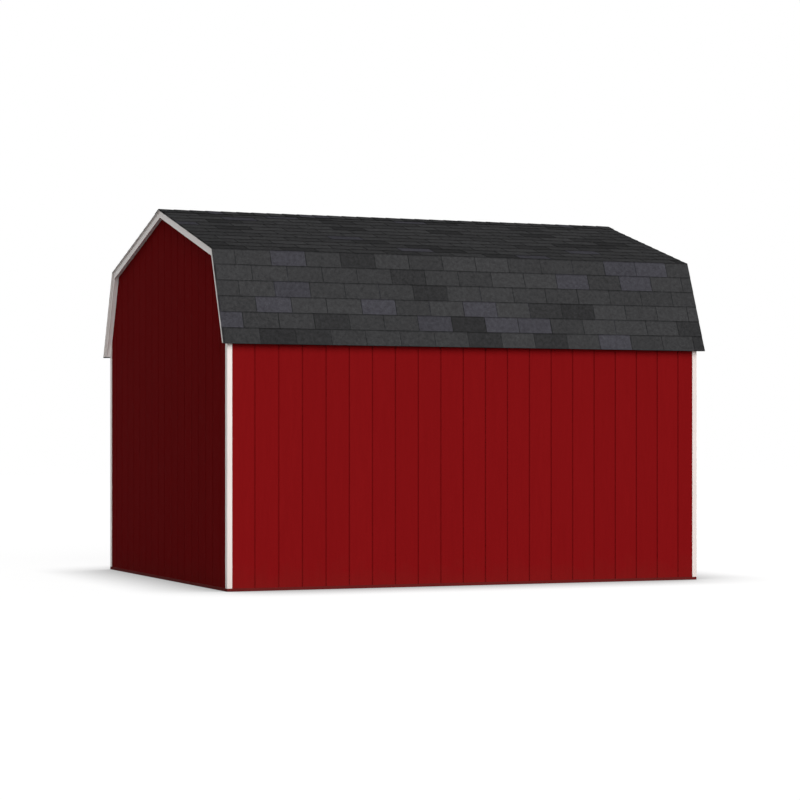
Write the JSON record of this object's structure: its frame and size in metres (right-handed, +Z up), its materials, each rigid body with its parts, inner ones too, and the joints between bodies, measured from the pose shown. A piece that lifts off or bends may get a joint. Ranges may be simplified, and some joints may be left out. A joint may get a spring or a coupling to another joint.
{
  "type": "gambrel-roof storage barn",
  "caption": "Small red wooden barn with a gambrel roof: grooved plank-look siding, white trim and dark roof shingles.",
  "frame": {"origin": "on the ground at the middle of the plan", "axes": "+X along the ridge, -Y is the long wall shown in the picture, +Z up"},
  "size_m": [4.3788, 3.792, 3.2382],
  "materials": {
    "red_siding": "painted barn red, satin",
    "white_trim": "painted off-white, satin",
    "shingles": "mineral-granule asphalt shingle, matt",
    "roof_deck": "oriented strand board, bare",
    "framing_wood": "planed softwood, bare",
    "treated_wood": "dark pressure-treated softwood, bare"
  },
  "bodies": {
    "root": {"back_left_corner_trim": "white_trim", "back_lower_deck": "roof_deck", "back_lower_shingles": "shingles", "back_rail": "treated_wood", "back_right_corner_trim": "white_trim", "back_siding": "red_siding", "back_soffit": "white_trim", "back_upper_deck": "roof_deck", "back_upper_shingles": "shingles", "back_wall_frame": "framing_wood", "front_left_corner_trim": "white_trim", "front_lower_deck": "roof_deck", "front_lower_shingles": "shingles", "front_rail": "treated_wood", "front_right_corner_trim": "white_trim", "front_siding": "red_siding", "front_soffit": "white_trim", "front_upper_deck": "roof_deck", "front_upper_shingles": "shingles", "front_wall_frame": "framing_wood", "left_back_lower_rake_board": "white_trim", "left_back_upper_rake_board": "white_trim", "left_fly_rafter": "white_trim", "left_front_lower_rake_board": "white_trim", "left_front_upper_rake_board": "white_trim", "left_gable_truss": "framing_wood", "left_rail": "treated_wood", "left_siding": "red_siding", "left_wall_frame": "framing_wood", "ridge_cap": "shingles", "right_back_lower_rake_board": "white_trim", "right_back_upper_rake_board": "white_trim", "right_fly_rafter": "white_trim", "right_front_lower_rake_board": "white_trim", "right_front_upper_rake_board": "white_trim", "right_gable_truss": "framing_wood", "right_rail": "treated_wood", "right_siding": "red_siding", "right_wall_frame": "framing_wood", "truss_1": "framing_wood", "truss_2": "framing_wood", "truss_3": "framing_wood", "truss_4": "framing_wood", "truss_5": "framing_wood", "truss_6": "framing_wood"}
  },
  "joints": []
}
